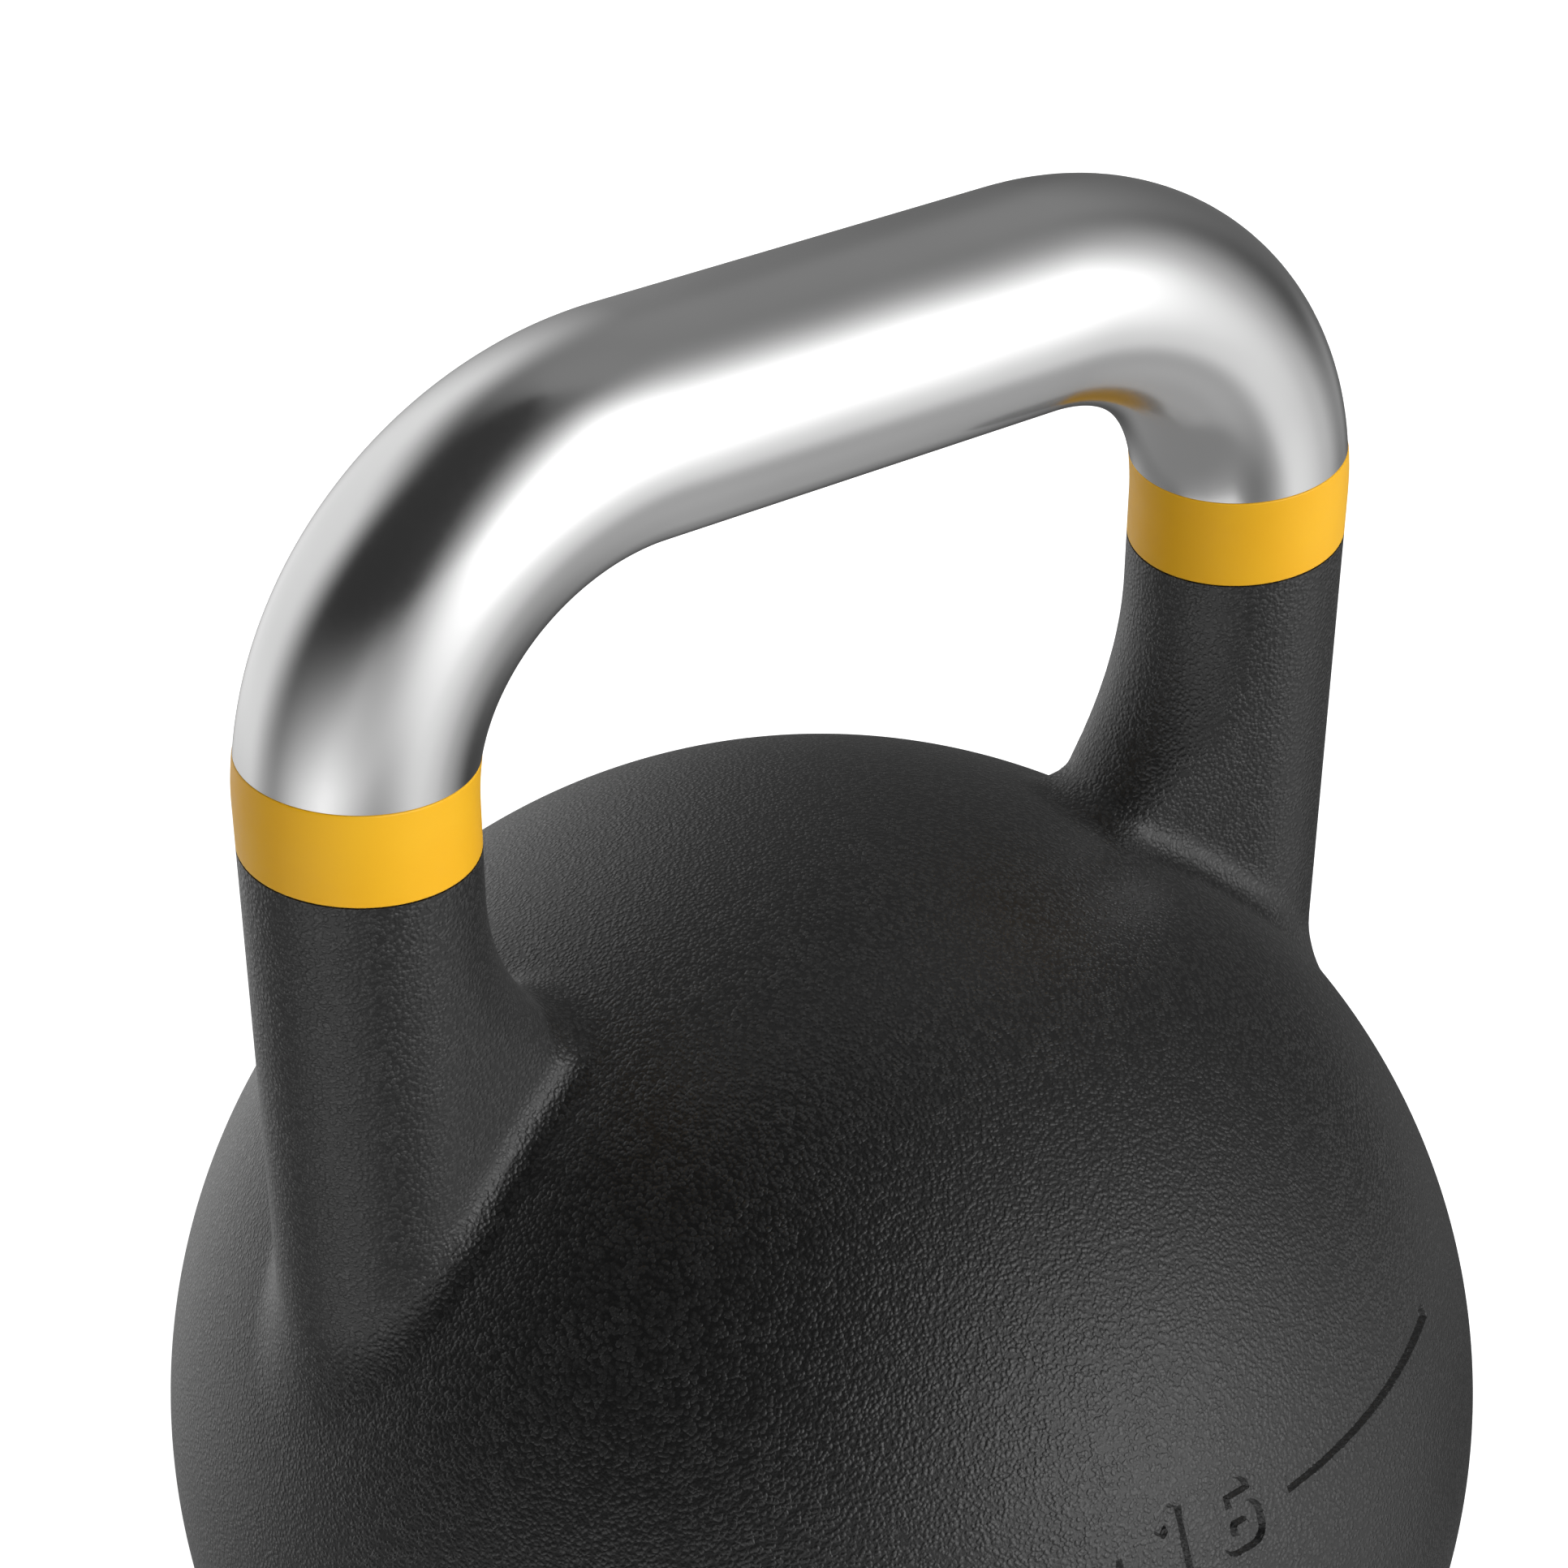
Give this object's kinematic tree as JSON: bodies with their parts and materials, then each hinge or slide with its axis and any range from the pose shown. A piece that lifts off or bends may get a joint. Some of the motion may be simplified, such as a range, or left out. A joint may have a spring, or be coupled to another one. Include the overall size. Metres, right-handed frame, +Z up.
{
  "type": "kettlebell",
  "caption": "Competition kettlebell: hollow black ball on a flat base, two horns, a polished round bar handle, and yellow bands where bar and horns meet.",
  "frame": {"origin": "centre of the flat base, on the plane that the kettlebell stands on", "axes": "+X along the handle bar, +Y to the back, +Z up; the number is on the front, at -Y"},
  "size_m": [0.21, 0.21, 0.28],
  "materials": {
    "powder_coat": "satin",
    "polished_steel": "polished",
    "band_yellow": "satin",
    "weld_metal": "matte",
    "ballast": "matte",
    "zinc_steel": "satin",
    "seal_rubber": "matte"
  },
  "bodies": {
    "root": {"ball_casting": "powder_coat", "handle_bar": "polished_steel", "band_left": "band_yellow", "band_right": "band_yellow", "weld_ring_left": "weld_metal", "weld_ring_right": "weld_metal", "ballast_fill": "ballast", "base_plug": "zinc_steel", "plug_seal": "seal_rubber"}
  },
  "joints": []
}
